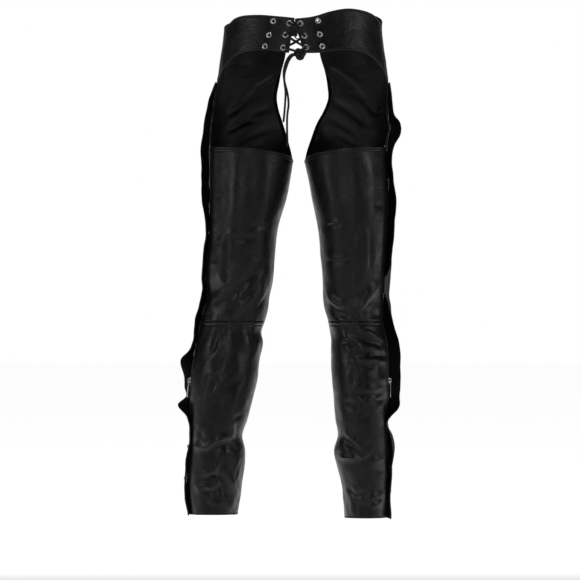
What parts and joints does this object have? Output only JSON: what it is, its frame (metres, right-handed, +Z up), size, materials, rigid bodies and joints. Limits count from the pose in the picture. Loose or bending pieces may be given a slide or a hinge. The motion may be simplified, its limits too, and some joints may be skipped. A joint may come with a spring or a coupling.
{
  "type": "leather chaps",
  "caption": "Black leather riding chaps in worn shape: laced back yoke, open seat, zipped legs under storm flaps, strap and ring front",
  "frame": {"origin": "middle of the waist ring at half the height of the yoke, where the wearer's waist holds the garment", "axes": "+Z up; the wearer faces -Y, so the laced back looks along +Y; +X is the wearer's left"},
  "size_m": [0.4667, 0.2619, 1.0801],
  "materials": {
    "leather": "black, fine grain, satin",
    "lining": "black woven lining",
    "zip_tape": "black woven tape",
    "lace": "black round lace",
    "zip_metal": "polished",
    "eyelet_metal": "polished",
    "snap_metal": "polished",
    "ring_metal": "polished"
  },
  "bodies": {
    "garment": {"back_yoke_left": "leather", "back_yoke_right": "leather", "front_yoke_left": "leather", "front_yoke_right": "leather", "front_leg_left": "leather", "front_leg_right": "leather", "back_thigh_left": "leather", "back_thigh_right": "leather", "back_calf_left": "leather", "back_calf_right": "leather", "flap_left": "leather", "flap_right": "leather", "front_strap_left": "leather", "front_strap_right": "leather", "lining_left": "lining", "lining_right": "lining", "zip_tape_left": "zip_tape", "zip_tape_right": "zip_tape", "zip_slider_left": "zip_metal", "zip_slider_right": "zip_metal", "eyelet_left_1": "eyelet_metal", "eyelet_left_2": "eyelet_metal", "eyelet_left_3": "eyelet_metal", "eyelet_left_4": "eyelet_metal", "eyelet_left_5": "eyelet_metal", "eyelet_left_6": "eyelet_metal", "eyelet_right_1": "eyelet_metal", "eyelet_right_2": "eyelet_metal", "eyelet_right_3": "eyelet_metal", "eyelet_right_4": "eyelet_metal", "eyelet_right_5": "eyelet_metal", "eyelet_right_6": "eyelet_metal", "snap_left_1": "snap_metal", "snap_left_2": "snap_metal", "snap_left_3": "snap_metal", "snap_right_1": "snap_metal", "snap_right_2": "snap_metal", "snap_right_3": "snap_metal", "snap_front_1": "snap_metal", "snap_front_2": "snap_metal", "lace_crossing": "lace", "lace_knot": "lace", "lace_tail_long": "lace", "lace_tail_short": "lace", "front_ring": "ring_metal"},
    "pull_tab_left": {"zip_pull_left": "zip_metal"},
    "pull_tab_right": {"zip_pull_right": "zip_metal"}
  },
  "joints": [
    {"name": "pull_tab_left_swing", "type": "hinge", "parent": "garment", "child": "pull_tab_left", "pos_m": [0.22432, 0.01787, -0.73611], "axis": [0.2011, -0.9796, 0], "range_deg": [0, 140]},
    {"name": "pull_tab_right_swing", "type": "hinge", "parent": "garment", "child": "pull_tab_right", "pos_m": [-0.19752, 0.01773, -0.73647], "axis": [0.1721, 0.9851, 0], "range_deg": [0, 140]}
  ]
}
